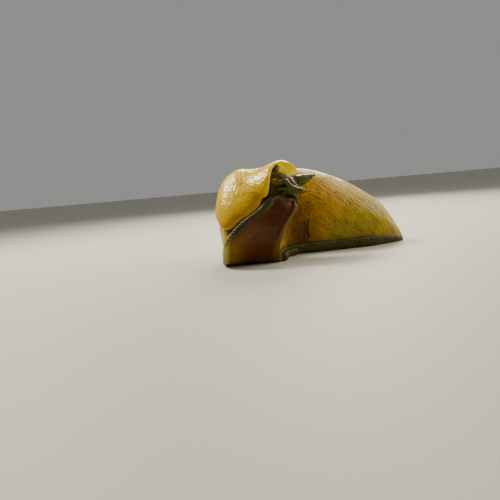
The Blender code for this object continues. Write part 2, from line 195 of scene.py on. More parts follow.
body = {
    "facet": 0.6,  # along the body
    "facets": (16, 34),  # of one flank, below and above its widest place
    "widestTurn": 0.6875,  # where the flank is widest, from 0 on the back to 1 at the groove
    "widestShare": 0.36,  # and how high that is, from the groove to the back
    "grooveInset": 1.0,  # how far the flank starts inside the edge of the foot
    "sunk": 0.35,  # how far below the top of the fringe the flank starts
    "neck": (13.2, 14.2, 0.78),  # from which section to which the neck narrows, and to what share
    # middle of the sole, towards the left edge of the sole, top of the back, half widths of flank
    # and sole, height of the fringe, and 1 for a round back or more for a keeled one
    "sections": [
        ((44, 9, 0), (0, -1, 0), (43.9, 9, 2.6), 1.5, 1.7, 1.5, 1.5),
        ((39, 9, 0), (0, -1, 0), (39.2, 9, 11.4), 6.2, 6, 3.2, 1.5),
        ((30.5, 8.8, 0), (0, -1, 0), (31.6, 8.8, 20.4), 11, 10, 4.2, 1.35),
        ((18, 8.4, 0), (0, -1, 0), (17.4, 8.6, 29.4), 14.2, 12.8, 4.6, 1.15),
        ((6, 7.4, 0), (0.1, -1, 0), (5, 8, 34.6), 15.2, 13.8, 4.6, 1),
        ((-6, 5.6, 0), (0.3, -1, 0), (-5, 7.4, 35.8), 15, 13.4, 4.6, 1),
        ((-15.5, 1.4, 0), (0.6, -0.8, 0), (-13.5, 5.6, 33.6), 13.8, 12.6, 4.2, 1),
        ((-21.5, -5.5, 0), (0.87, -0.5, 0), (-20.5, 1.6, 29.6), 12.8, 11.8, 3.6, 1),
        ((-23.8, -13.5, 0), (0.97, -0.22, 0), (-24.8, -2.6, 27.4), 11.6, 11.2, 3.2, 1),
        ((-24.3, -20.5, 0), (1, 0, 0), (-27.2, -6, 27), 10.8, 10.8, 3, 1),
        ((-24.2, -27.2, 1.4), (0.98, 0.15, -0.05), (-28, -8.2, 28.4), 10.2, 10.5, 2.8, 1),
        ((-23.7, -30.7, 7.6), (0.95, 0.24, -0.16), (-27.6, -9.4, 30.6), 9.8, 10.1, 2.6, 1),
        ((-19.7, -31.1, 14), (0.92, 0.3, -0.22), (-25.6, -10.4, 33), 9.8, 8.7, 2.5, 1),
        ((-13.8, -28.8, 18.9), (0.88, 0.37, -0.3), (-22.4, -11.6, 34.6), 9.2, 6.6, 2.4, 1),
        ((-10.8, -26.9, 22.8), (0.85, 0.43, -0.31), (-17.4, -13.6, 34.2), 8.3, 6, 2.2, 1),
        ((-9.7, -24.7, 24.9), (0.7, 0.66, -0.24), (-13, -15.2, 34.6), 7.5, 5.2, 1.5, 1),
        ((-8, -23, 27.2), (0.42, 0.79, -0.44), (-8.8, -16, 34.8), 6.6, 5, 2, 1),
        ((-5, -21.8, 27.2), (0.18, 0.87, -0.45), (-5.2, -16.6, 33.5), 5.8, 4.4, 2, 1),
        ((-2.6, -21.6, 25.6), (0, 0.9, -0.43), (-2.6, -17, 31), 5, 4, 2, 1),
    ],
}
bodyColumns = columnsOf(body["sections"])
# places along the body are measured on a line between the sole and the back
bodyKnots = wayAlong(bodyColumns[0] * 0.7 + bodyColumns[2] * 0.3)


def place(number):
    # how far from the tail a section is, whose number may lie between two sections
    return np.interp(number, np.arange(len(bodyKnots)), bodyKnots)


def onSole(at):
    # the middle of the sole, which never dips into the floor
    found = smoothLine(bodyKnots, bodyColumns[0], np.clip(at, 0, bodyKnots[-1]))
    found[:, 2] = np.maximum(found[:, 2], 0)
    return found


def slicesAt(at):
    # cross-sections of the body at any places along it
    sole, ahead = onSole(at), onSole(at + 0.5) - onSole(at - 0.5)
    left = unit(smoothLine(bodyKnots, bodyColumns[1], at))
    normal = unit(np.cross(ahead, left))
    back = smoothLine(bodyKnots, bodyColumns[2], at)
    flank, foot, rim, keel = (smoothLine(bodyKnots, column, at)[:, None] for column in bodyColumns[3:])
    groove = sole + normal * (rim - body["sunk"])
    return {"sole": sole, "left": left, "normal": normal, "back": back, "flank": flank,
            "foot": foot, "rim": rim, "keel": keel, "groove": groove}


def wallPoints(cuts, turn, proud):
    # the flanks and the back: turn runs from -1 at the right groove over 0 on the back to 1 at the
    # left groove, and proud is how far a point stands off the flank
    turn, proud = np.broadcast_arrays(turn, proud)
    share = np.abs(turn) / body["widestTurn"]
    upper = share <= 1
    angle = np.where(upper, pi / 2 * (1 - share), pi / 2 * (share - 1) / (1 / body["widestTurn"] - 1))
    start = cuts["foot"] - body["grooveInset"]
    wide = np.maximum(np.cos(angle), 0)
    sideways = np.where(upper, (cuts["flank"] + proud) * wide ** cuts["keel"],
                        start + (cuts["flank"] - start) * wide + proud)
    low = body["widestShare"]
    height = np.where(upper, low + (1 - low) * np.sin(angle), low * (1 - np.sin(angle)))
    lift = np.where(upper, proud * np.sin(angle), 0)
    spine = cuts["back"] - cuts["groove"]
    points = cuts["groove"][:, None] + spine[:, None] * height[..., None]
    points = points + unit(spine)[:, None] * lift[..., None]
    return points + cuts["left"][:, None] * (sideways * np.where(turn > 0, 1, -1))[..., None]


def sideTurns():
    # from the right groove over the back to the left groove
    low, high = body["facets"]
    upper = np.linspace(0, body["widestTurn"], high + 1)
    lower = np.linspace(body["widestTurn"], 1, low + 1)[1:]
    half = np.concatenate([upper, lower])
    return np.concatenate([-half[::-1], half[1:]])


head = {
    # middle, the way to the left, the way up, half width, and reach upward and downward
    "rings": [
        ((-11.6, -21.2, 30.7), (0.64, 0.65, -0.41), (-0.2, 0.62, 0.76), 5.5, 5.2, 3.1),
        ((-9.6, -21.5, 30.3), (0.4, 0.8, -0.46), (-0.1, 0.54, 0.84), 5, 3.6, 3.6),
        ((-7.7, -21.7, 29.5), (0.18, 0.87, -0.46), (0, 0.48, 0.88), 4.3, 2.9, 3.8),
        ((-6.1, -21.9, 28.7), (0.05, 0.88, -0.47), (0, 0.47, 0.88), 3.2, 2.3, 3.5),
        ((-5.1, -22, 28.2), (0, 0.88, -0.47), (0, 0.47, 0.88), 1.8, 1.5, 2.4),
        ((-4.7, -22.1, 28), (0, 0.88, -0.47), (0, 0.47, 0.88), 0.7, 0.6, 1.1),
    ],
    "steps": 24,
    "open": 0.94,  # the share of each ring that its points take up
}


def makeBody():
    turns = sideTurns()
    at = np.arange(0, place(body["neck"][1]) + body["facet"] / 2, body["facet"])
    cuts = slicesAt(at)
    rings = wallPoints(cuts, turns[None, :], np.zeros((1, 1)))
    middle = (cuts["groove"] + cuts["back"])[:, None] / 2
    start, end, share = body["neck"]
    near = np.clip((at - place(start)) / (place(end) - place(start)), 0, 1)
    rings = middle + (rings - middle) * (1 - (1 - share) * near**2)[:, None, None]
    columns = columnsOf(head["rings"])
    knots = wayAlong(columns[0])
    reach = np.linspace(0, knots[-1], head["steps"])
    spot, left, up = (smoothLine(knots, column, reach) for column in columns[:3])
    wide, high, low = (smoothLine(knots, column, reach)[:, None, None] for column in columns[3:])
    # as many points as the body's rings have, so that the head's skin joins theirs
    angle = (pi * head["open"] * np.linspace(-1, 1, len(turns)))[None, :, None]
    rise = np.cos(angle) * np.where(np.cos(angle) > 0, high, low)
    headRings = spot[:, None] + unit(up)[:, None] * rise + unit(left)[:, None] * wide * np.sin(angle)
    joined = np.concatenate([rings[-1:], headRings])
    way = np.concatenate([[0], 1 + reach])
    for name, part, along in (("body", rings, at), ("head", joined, way)):
        loft(name, part, along[:, None], arcLengths(part, len(turns) // 2))


foot = {
    "facet": 0.5,  # along the foot
    "end": 15.0,  # the section where the foot ends in front
    # length of its rounded front end, how near that comes to a point, and how square it is
    "tip": (3.6, 0.82, 2.6),
    "bulge": 0.3,  # how far the fringe swells beyond the sole, as a share of its height
    "roll": (2.4, 0.55),  # width and height of the rim round the reared part of the sole
    "rearedFrom": (9.8, 11.2),  # between which sections the foot leaves the floor
    "fringeSteps": 16,
    "soleSteps": 40,
    "topSteps": 12,
}


def makeFoot():
    end = place(foot["end"])
    at = np.append(np.arange(0, end - 0.2, foot["facet"]), [end - 0.1, end])
    cuts = slicesAt(at)
    length, pointed, square = foot["tip"]
    tip = np.maximum((at - end + length) / length, 0)[:, None]
    half = cuts["foot"] * (1 - (pointed * tip) ** square) ** 0.5
    turns = np.linspace(0, pi, foot["fringeSteps"])[None, :]
    bulge = foot["bulge"] * cuts["rim"]
    u = np.linspace(-1, 1, foot["soleSteps"])[None, 1:-1] * half
    rearedLow, rearedHigh = (place(n) for n in foot["rearedFrom"])
    reared = smoothStep(rearedLow, rearedHigh, at)[:, None]
    width, height = foot["roll"]
    toEdge = np.minimum(half - np.abs(u), (end - at)[:, None])
    roll = -height * reared * np.sin(np.clip(toEdge / width, 0, 1) * pi) ** 2
    fringeU, fringeV = half + bulge * np.sin(turns), cuts["rim"] * (1 - np.cos(turns)) / 2
    top = np.linspace(1, -1, foot["topSteps"])[None, 1:-1] * half
    topHeight = np.repeat(cuts["rim"], top.shape[1], 1)
    across = np.concatenate([u, fringeU, top, -fringeU[:, ::-1]], 1)
    upward = np.concatenate([roll, fringeV, topHeight, fringeV[:, ::-1]], 1)
    rings = cuts["sole"][:, None] + cuts["left"][:, None] * across[..., None]
    rings = rings + cuts["normal"][:, None] * upward[..., None]
    # around holds where a point lies across the sole, beyond 1 on the fringe
    lift = upward / cuts["rim"]
    onSide = lift > 0.02
    around = np.sign(across) * np.where(onSide, 1 + lift, np.abs(across) / half)
    edge = np.where(onSide, -lift, np.minimum(half - np.abs(across), (end - at)[:, None]))
    loft("foot", rings, at[:, None], around, edge)


mantle = {
    "facet": 0.5,  # along the mantle
    "facets": 90,  # across it
    "gap": 0.3,  # the least space under its free part
    "free": (3.0, 0.45),  # how wide its free margin is, and how far that stands off the flank
    "pressed": 0.9,  # how deep the rest is pressed into the flank
    "closed": (0.05, 0.6),  # the space above the head at which the mantle starts to come free
    "rounding": (1.6, 0.35),  # how wide its rounded edge is, and the share of thickness left there
    "sides": 0.85,  # the share of thickness left at the sides
    "thinnest": 0.35,
    # section, how far the right and left edges reach down the flank (0 on the back, 1 at the
    # groove), the space left above the head, and the thickness
    "laps": [
        (10.45, 0.14, 0.12, 0, 0.9), (10.7, 0.42, 0.32, 0, 1.3), (11, 0.68, 0.46, 0, 1.8),
        (11.5, 0.88, 0.54, 0, 2.2), (12.2, 0.92, 0.56, 0, 2.3), (13.2, 0.93, 0.56, 0, 2.2),
        (14, 0.9, 0.48, 0.4, 1.9), (14.6, 0.9, 0.38, 1, 1.6), (15, 0.88, 0.31, 1.6, 1.3),
        (15.25, 0.84, 0.29, 2, 1.1), (15.5, 0.78, 0.28, 2.2, 1), (15.65, 0.68, 0.28, 2.3, 0.9),
        (15.8, 0.56, 0.28, 2.3, 0.9), (16.1, 0.44, 0.28, 2.4, 0.8), (16.6, 0.32, 0.26, 2.4, 0.8),
        (17.2, 0.2, 0.2, 2.3, 0.8), (17.7, 0.12, 0.14, 2.2, 0.8),
    ],
}


def makeMantle():
    laps = columnsOf(mantle["laps"])
    low, high = place(laps[0][0]), place(laps[0][-1])
    at = np.linspace(low, high, int((high - low) / mantle["facet"]))
    numbers = np.interp(at, bodyKnots, np.arange(len(bodyKnots)))
    right, left, hollow, thick = (smoothLine(laps[0], column, numbers)[:, None] for column in laps[1:])
    cuts = slicesAt(at)
    share = np.linspace(0, 1, mantle["facets"] + 1)[None, :]
    turn = -right + (right + left) * share
    way = arcLengths(wallPoints(cuts, turn, np.zeros((1, 1))), 0)
    toEdge = np.minimum(way, way[:, -1:] - way)  # how far each point is from the nearer edge
    gap, (width, stand) = mantle["gap"], mantle["free"]
    free = 1 - smoothStep(0.2, 1, toEdge / width)
    closed = 1 - smoothStep(*mantle["closed"], hollow)  # where the mantle lies on the body
    inner = hollow + gap + (free * (stand - gap) - (1 - free) * mantle["pressed"]) * closed
    width, thin = mantle["rounding"]
    near = np.clip(toEdge / width, 0, 1)
    rounded = thin + (1 - thin) * np.sqrt(near * (2 - near))
    fuller = mantle["sides"] + (1 - mantle["sides"]) * np.sin(pi * share) ** 0.5
    outer = np.maximum(gap + hollow + thick * rounded * fuller, inner + mantle["thinnest"])
    outside, inside = wallPoints(cuts, turn, outer), wallPoints(cuts, turn, inner)
    rings = np.concatenate([outside, inside[:, ::-1]], 1)
    middle = np.argmin(np.abs(turn), axis=1)
    around = way - way[np.arange(len(at)), middle][:, None]
    around = np.concatenate([around, around[:, ::-1]], 1)
    toEdge = np.minimum(toEdge, (high - at)[:, None])
    edge = np.concatenate([toEdge, -toEdge[:, ::-1]], 1)  # negative on the inside
    loft("mantle", rings, at[:, None], around, edge, crescent=True)


tentacles = {
    "sides": 28,
    "step": 0.3,
    # middles with radii, from root to tip: the upper right and left, the lower right and left
    "courses": [
        [((-13.3, -25.4, 30.6), 1.2), ((-12.9, -26.4, 30.3), 1.2), ((-11.9, -27.1, 30.1), 0.95),
         ((-10.6, -27.5, 30.6), 1), ((-9.5, -27.6, 30.4), 1), ((-8.6, -27.5, 29.4), 1),
         ((-7.3, -27.3, 27.9), 1.1), ((-5.6, -27, 26.9), 1.2), ((-4.3, -26.8, 26.6), 1.15)],
        [((-6.8, -18.2, 30.6), 1.6), ((-5.4, -17.6, 30.5), 2.1), ((-3.6, -17.2, 30.4), 2.2),
         ((-1.6, -17, 30.7), 2), ((-0.2, -16.7, 31.1), 1.6), ((0.8, -16.5, 31.4), 1.15)],
        [((-5, -23.6, 28), 0.8), ((-3.8, -24.3, 27), 0.75), ((-2.8, -24.6, 26), 0.6)],
        [((-4.8, -20.6, 27.8), 0.8), ((-3.6, -20.1, 26.9), 0.75), ((-2.6, -19.9, 25.9), 0.6)],
    ],
    "root": 1.5,  # how far the roots go into the head
    "tip": 0.5,  # how far the upper ones reach round the eyes
}
# flesh between the head, the mantle and the foot: the nape that carries the hood, the throat
# behind the front edge of the foot, the snout above it, and the corner of the foot at the inside of
# the bend, which takes its tints from the fringe between two sections
fills = {
    "sides": 28,
    "step": 0.4,
    "nape": [((-14.8, -20.6, 29.5), 3.4), ((-13.6, -20.6, 33), 2.6), ((-13, -19.8, 35.6), 2.2)],
    "throat": [((-13, -22.8, 25.8), 3), ((-10.2, -20.6, 25.6), 2.6), ((-8.4, -19.8, 23.8), 2.3),
               ((-7.2, -21.2, 19.6), 2.1)],
    "snout": [((-11, -23.6, 27.6), 2), ((-9, -22.6, 27.4), 2.1), ((-7.4, -21.8, 26.4), 2.1),
              ((-6, -21.2, 25), 1.8)],
    "corner": [((-12.4, -23.6, 1.5), 1.4), ((-11.6, -20.5, 1.5), 1.5), ((-11, -17, 1.5), 1.5),
               ((-9.8, -13.6, 1.6), 1.6), ((-7, -10.8, 1.7), 1.6)],
    "cornerSections": (9.6, 7.0),
    "cornerMarks": (1.5, -0.75),  # halfway up the fringe
}
# the fold of the lips, which runs down beside the front end of the foot
lips = {
    "course": [((-12.8, -26.3, 27.9), 0.5), ((-10.1, -26, 27.8), 0.65), ((-8.6, -25.8, 27.2), 0.65),
               ((-7.3, -25.3, 26.1), 0.65), ((-6.2, -24.6, 24.9), 0.65), ((-5.6, -24.1, 23.9), 0.55),
               ((-5.4, -23.7, 22.8), 0.5), ((-5.2, -23.6, 21.6), 0.45)],
    "sides": 24,
}


def makeTentacles():
    sides, step, root = tentacles["sides"], tentacles["step"], tentacles["root"]
    for number, course in enumerate(tentacles["courses"]):
        tip = tentacles["tip"] if number < 2 else 0  # only the upper ones carry eyes
        rings, along, around = tube(course, sides, step, root, tip)
        loft("tentacle", rings, along + number * 10, around)  # their tens tell them apart
    loft("lips", *tube(lips["course"], lips["sides"], step))


def makeFills():
    sides, step = fills["sides"], fills["step"]
    for name in ("nape", "throat", "snout"):
        rings, along, around = tube(fills[name], sides, step)
        loft("head", rings, along * 10, around * 3)
    rings, along, _ = tube(fills["corner"], sides, step)
    start, end = (place(number) for number in fills["cornerSections"])
    loft("foot", rings, start + (end - start) * along, *fills["cornerMarks"])


makeBody()
makeFoot()
makeMantle()
makeTentacles()
makeFills()
print("lofts made")


# The skin: the lofts melted together, then smoothed and given its relief

skin = {
    "voxel": 0.2,  # size of the cells in which the lofts melt together
    # rounds of smoothing: for the melted surface, the borders of its parts, and those of its tints
    "smoothing": 4,
    "partBlend": 5,
    "tintBlend": 3,
    "darkestShadeDepth": 0.2,  # how deep a groove is where its painted shade is darkest
}


def addObject(name, data):
    found = bpy.data.objects.new(name, data)
    bpy.context.scene.collection.objects.link(found)
    return found


def makeObject(name, points, faces):
    data = bpy.data.meshes.new(name)
    data.from_pydata(points, [], faces)
    data.update()
    return addObject(name, data)


def allParts():
    # the points, faces and marks of all the lofts
    points, faces, marks = (list(column) for column in zip(*parts))
    starts = np.cumsum([0] + [len(p) for p in points[:-1]])
    faces = [f + start for f, start in zip(faces, starts)]
    return np.vstack(points), np.vstack(faces), np.vstack(marks)


def meltTogether():
    points, faces, _ = allParts()
    rough = makeObject("roughSkin", points * mm, faces.tolist())
    remesh = rough.modifiers.new("melt", "REMESH")
    remesh.mode, remesh.voxel_size = "VOXEL", skin["voxel"] * mm
    melted = bpy.data.meshes.new_from_object(rough.evaluated_get(bpy.context.evaluated_depsgraph_get()))
    bpy.data.objects.remove(rough)
    co = np.empty(len(melted.vertices) * 3)
    melted.vertices.foreach_get("co", co)
    sides = np.empty(len(melted.edges) * 2, np.int64)
    melted.edges.foreach_get("vertices", sides)
    return melted, co.reshape(-1, 3) / mm, sides.reshape(-1, 2)


def smoothed(values, sides, rounds, share=0.5):
    # each value drawn towards the mean of its neighbours
    count = len(values)
    flat = values.reshape(count, -1)
    a, b = sides.T
    near = np.maximum(np.bincount(a, minlength=count) + np.bincount(b, minlength=count), 1)
    for _ in range(rounds):
        mean = np.stack([
            np.bincount(a, column[b], count) + np.bincount(b, column[a], count) for column in flat.T
        ], -1) / near[:, None]
        flat = flat + (mean - flat) * share
    return flat.reshape(values.shape)


def marksAt(co):
    # the marks of the nearest place on the lofts, for every point of the skin
    points, faces, marks = allParts()
    tree = BVHTree.FromPolygons(points.tolist(), faces.tolist())
    spots, which = np.empty_like(co), np.empty(len(co), np.int64)
    for i, c in enumerate(co):
        spot, _, index, _ = tree.find_nearest(c)
        spots[i], which[i] = spot, index
    # how near each spot is to the three corners of its face
    corners = faces[which]
    a, b, c = (points[corners[:, k]] for k in range(3))
    ab, ac, at = b - a, c - a, spots - a
    d00, d01, d11 = (ab * ab).sum(1), (ab * ac).sum(1), (ac * ac).sum(1)
    d20, d21 = (at * ab).sum(1), (at * ac).sum(1)
    whole = np.maximum(d00 * d11 - d01 * d01, 1e-12)
    v, w = (d11 * d20 - d01 * d21) / whole, (d00 * d21 - d01 * d20) / whole
    v, w = np.clip(v, 0, 1)[:, None], np.clip(w, 0, 1)[:, None]
    found = marks[corners[:, 0]] * (1 - v - w) + marks[corners[:, 1]] * v + marks[corners[:, 2]] * w
    found[:, 0] = marks[corners[:, 0], 0]
    return found


def normalsOf(mesh, co):
    mesh.vertices.foreach_set("co", (co * mm).ravel())
    mesh.update()
    found = np.empty(len(co) * 3)
    mesh.vertices.foreach_get("normal", found)
    return found.reshape(-1, 3)


mesh, co, sides = meltTogether()
print("skin melted:", len(co), "points")
co = smoothed(co, sides, skin["smoothing"])
marks = marksAt(co)
print("marks read")
kind, along, around, edge = marks.T
share = {name: smoothed((kind == number).astype(float), sides, skin["partBlend"])
         for name, number in kinds.items()}


def fromTo(first, last):
    # grows from 0 at one section of the body to 1 at another
    return smoothStep(place(first), place(last), along)


normals = normalsOf(mesh, co)
hood = {
    "sections": (14.4, 15.0),  # between which the mantle comes free of the head
    "facing": (-0.1, 0.25),  # how squarely its inside faces the middle of the head, from none to all
}
# 1 on the inside of the hood, which faces the head
inward = -np.sum(normals * unit(co - np.array(head["rings"][1][0])), 1)
inner = share["mantle"] * fromTo(*hood["sections"]) * smoothStep(*hood["facing"], inward)


relief = {
    "swells": (9.0, 0.25),  # size and height of the broad unevenness of the flesh
    "swellsLeft": (0.3, 0.4),  # the share of them on the head and on the foot
    "tubercles": (3.0, 0.72, 0.13),  # length and width of the tubercles of the body, and groove depth
    "rowBends": ((5.0, 1.6, 11), (1.8, 0.5, 12)),  # of their rows: size, reach and seed
    "slant": 0.3,  # how steeply their rows slope down towards the tail
    "grooveReach": (0.02, 0.4),  # from the line between two tubercles, as shares of their size
    "patches": (4.0, 0.75, 0.45),  # size of the bolder patches, the usual depth, and how far it varies
    "wrinkles": (6.0, 1.4, 0.13),  # length, width and depth of the body's longer wrinkles
    "wrinklesFade": (11.0, 9.5),  # the sections between which these come in
    # the crease at the inside of the bend: how far along, from where to where down the flank, width
    # and depth; its bends; a fainter one beside it: distance, width and depth in terms of the first;
    # and the raised fold across its top: height, width, and reach to the sides
    "crease": (49.6, 28.5, 38.5, 0.45, 0.6),
    "creaseBends": ((2.6, 1.1, 29), (1.1, 0.5, 28)),
    "secondCrease": (4.2, 1.5, 0.45),
    "creaseFold": (0.22, 0.4, 2.6, 1.8),
    # the folds that fan out from its top: pitch there, how fast they spread, depth
    "bendFolds": (0.7, 0.22, 0.2),
    "granules": (0.9, 0.62, 0.11),  # size, width as a share of that, and height, on the mantle
    "granuleBends": (3.0, 0.5),
    "mantleFolds": (2.4, 0.35, 0.13),  # size, width and height
    "mantleSmooth": (17, 29, 0.35),  # how high up its relief grows, from which share of it
    "fringe": (0.95, 0.32),  # pitch and depth of the fringe grooves
    "fringeSpacing": (2.2, 0.22),  # size and reach of the unevenness of their pitch
    # how far in from the edge of the sole the ribs reach, lying and reared; then the sections
    # between which the foot rears, the left side turns smooth, the right side's ribs grow bolder
    # from a share of their depth, and they end
    "ribsReach": ((0.9, -0.15), (2.6, 1.45)),
    "rears": (10.2, 11.0),
    "turnsSmooth": (9.4, 10.0),
    "ribsBolder": (10.7, 11.1, 0.4),
    "ribsEnd": (14.4, 13.9),
    "ribsReared": (0.85, 0.5),  # how much of the depth is lost where smooth, and where reared
    "fringeWaves": (5.0, 0.3),  # length and height of the fringe's unevenness
    "soleWaves": (4.2, 0.12),
    # the puckered place of the sole: how far along, across, with its spreads, and height
    "puckers": (96.5, 2.6, -0.4, 0.3, 0.35),
    "headFolds": (1.2, 0.14),
    "tentacleFolds": (0.8, 0.06),
}


def bentBy(bends):
    return sum(reach * softNoise(co, size, seed) for size, reach, seed in bends)


def flatNoise(x, y, size, seed):
    # noise over the unrolled skin
    return softNoise(np.stack([x, y], -1), size, seed)


def bodyRelief():
    # rows of long tubercles with fine grooves between them, in longer wrinkles
    length, width, depth = relief["tubercles"]
    warp = bentBy(relief["rowBends"])
    x, y = along + warp, around + relief["slant"] * along * np.sign(around) + warp * 0.5
    first, second = cellNoise(x / length, y / width, seed=21)
    groove = 1 - smoothStep(*relief["grooveReach"], second - first)
    size, usual, change = relief["patches"]
    patch = usual + change * softNoise(co, size, seed=13)
    fine = depth * patch * ((0.5 - first) * 0.5 - groove)
    length, width, depth = relief["wrinkles"]
    wrinkle = 0.25 - np.abs(flatNoise(x / length, y / width, 1.0, seed=15))
    fine += depth * wrinkle * fromTo(*relief["wrinklesFade"])

    # the crease with a fainter one beside it and a raised fold across its top, and the folds that
    # fan out from it, where the flank is squeezed
    start, top, bottom, width, depth = relief["crease"]
    way = along - start - bentBy(relief["creaseBends"])
    down = smoothStep(top, top + 2, around) * smoothStep(bottom + 1, bottom - 2, around)
    distance, wider, fainter = relief["secondCrease"]
    fine -= depth * down * (
        bell(way, 0, width) + fainter * bell(way, distance * width, wider * width))
    height, width, far, near = relief["creaseFold"]
    aside = np.abs(way)
    fine += height * bell(around + 1.1 * aside, top + 1, width) * smoothStep(far, near, aside)
    pitch, spread, depth = relief["bendFolds"]
    fan = way / (pitch * (1 + spread * np.maximum(around - top, -3)))
    fan += 0.35 * softNoise(co, 2.2, seed=31)
    bend = smoothStep(start - 3, start + 1, along) * fromTo(10.5, 8.5) * smoothStep(16, 26, around)
    return fine + bend * depth * (np.sin(2 * pi * fan) * 0.5 - 0.3)


def mantleRelief():
    # granules and folds, fainter low down
    size, width, depth = relief["granules"]
    bendSize, reach = relief["granuleBends"]
    warp = softNoise(co, bendSize, seed=41) * reach
    first, _ = cellNoise((along + warp) / size, (around - warp) / size, seed=43)
    granules = depth * (np.sqrt(np.clip(1 - (first / width) ** 2, 0, 1)) - 0.5)
    size, width, depth = relief["mantleFolds"]
    folds = depth * (width - np.abs(flatNoise(along / 2.2, around, size, seed=47)))
    low, high, least = relief["mantleSmooth"]
    return (least + (1 - least) * smoothStep(low, high, co[:, 2])) * (granules + folds)


def footRelief():
    # the grooves and waves of the fringe, the faint waves of the sole, and its puckers
    pitch, depth = relief["fringe"]
    size, reach = relief["fringeSpacing"]
    steps = (along + softNoise(co, size, seed=53) * reach) / pitch
    groove = (0.5 + 0.5 * np.cos(2 * pi * steps)) ** 2
    reared = fromTo(*relief["rears"])
    lying, risen = np.array(relief["ribsReach"])
    onFringe = smoothStep(*(low + (high - low) * reared for low, high in zip(lying, risen)), edge)
    start, end, least = relief["ribsBolder"]
    ribbed = (least + (1 - least) * fromTo(start, end)) * fromTo(*relief["ribsEnd"])
    smooth = fromTo(*relief["turnsSmooth"]) * (1 - (around < 0) * ribbed)
    lostSmooth, lostReared = relief["ribsReared"]
    fine = -onFringe * depth * groove * (1 - lostSmooth * smooth) * (1 - lostReared * reared)
    size, depth = relief["fringeWaves"]
    height = onFringe * depth * flatNoise(along, np.sign(around) * 9, size, seed=55)
    size, depth = relief["soleWaves"]
    waves = depth * flatNoise(along * 1.8, around * 8, size, seed=59)
    far, farSpread, aside, sideSpread, depth = relief["puckers"]
    puckers = 0.35 - np.abs(flatNoise(along / 0.9, around * 2.2, 1.0, seed=60))
    puckers *= depth * bell(along, far, farSpread) * bell(around, aside, sideSpread)
    return height, fine + (1 - onFringe) * (waves + puckers)


def makeRelief():
    onBody, onFoot, onMantle = share["body"], share["foot"], share["mantle"] * (1 - inner)
    onFeelers = share["tentacle"] + share["lips"]
    size, depth = relief["swells"]
    headLeft, footLeft = relief["swellsLeft"]
    left = 1 - (1 - headLeft) * (share["head"] + onFeelers) - (1 - footLeft) * onFoot
    footHeight, footFine = footRelief()
    height = softNoise(co, size, seed=3) * depth * left + onFoot * footHeight
    fine = onBody * bodyRelief() + onMantle * mantleRelief() + onFoot * footFine
    # wrinkles of the head and the tentacles
    size, depth = relief["headFolds"]
    fine += share["head"] * depth * softNoise(co, size, seed=61)
    size, depth = relief["tentacleFolds"]
    return height, fine + onFeelers * depth * softNoise(co, size, seed=67)


height, fine = makeRelief()
co = co + normals * (height + fine)[:, None]
co[:, 2] = np.maximum(co[:, 2], 0)
mesh.vertices.foreach_set("co", (co * mm).ravel())
mesh.update()
print("relief made")


# Where the tints of the skin lie, along the body, by the numbers of its sections
zones = {
    # where a tint is strongest, and how far it spreads
    "strongest": {
        "golden": (4.4, 1.1), "goldenTurnGlow": (8.7, 1.1), "bendBrownAndShade": (5.3, 1.15), "wan": (10.2, 0.8),
        "soleWarm": (10.8, 1.1), "soleOlive": (10.45, 0.95), "soleOliveLeft": (10.6, 0.8),
        "fringeGrey": (11.75, 0.6), "fringeGreyHigh": (12.9, 0.8), "fringePale": (10.5, 0.6),
        "strip": (10.6, 0.5), "corner": (8.7, 0.9), "dullLeft": (9.6, 1.6),
    },
    # from where to where a tint comes in
    "between": {
        "olive": (5.2, 3.4), "keel": (3.4, 1.4), "neck": (13.0, 13.6), "creviceShade": (10.9, 11.5),
        "mantleLapShade": (15.0, 14.2), "hood": (14.6, 16.0), "rim": (9.6, 10.8), "rimLeft": (13.4, 12.8),
        "flankFoot": (9.7, 10.4), "flankFootEnd": (13.5, 12.9),
    },
    "paleSheenTo": 9.5,
    # the puckers: mm from the tail, then half widths from the middle, each with its spread
    "pucker": ((96.8, 2.0), (-0.42, 0.24)),
}


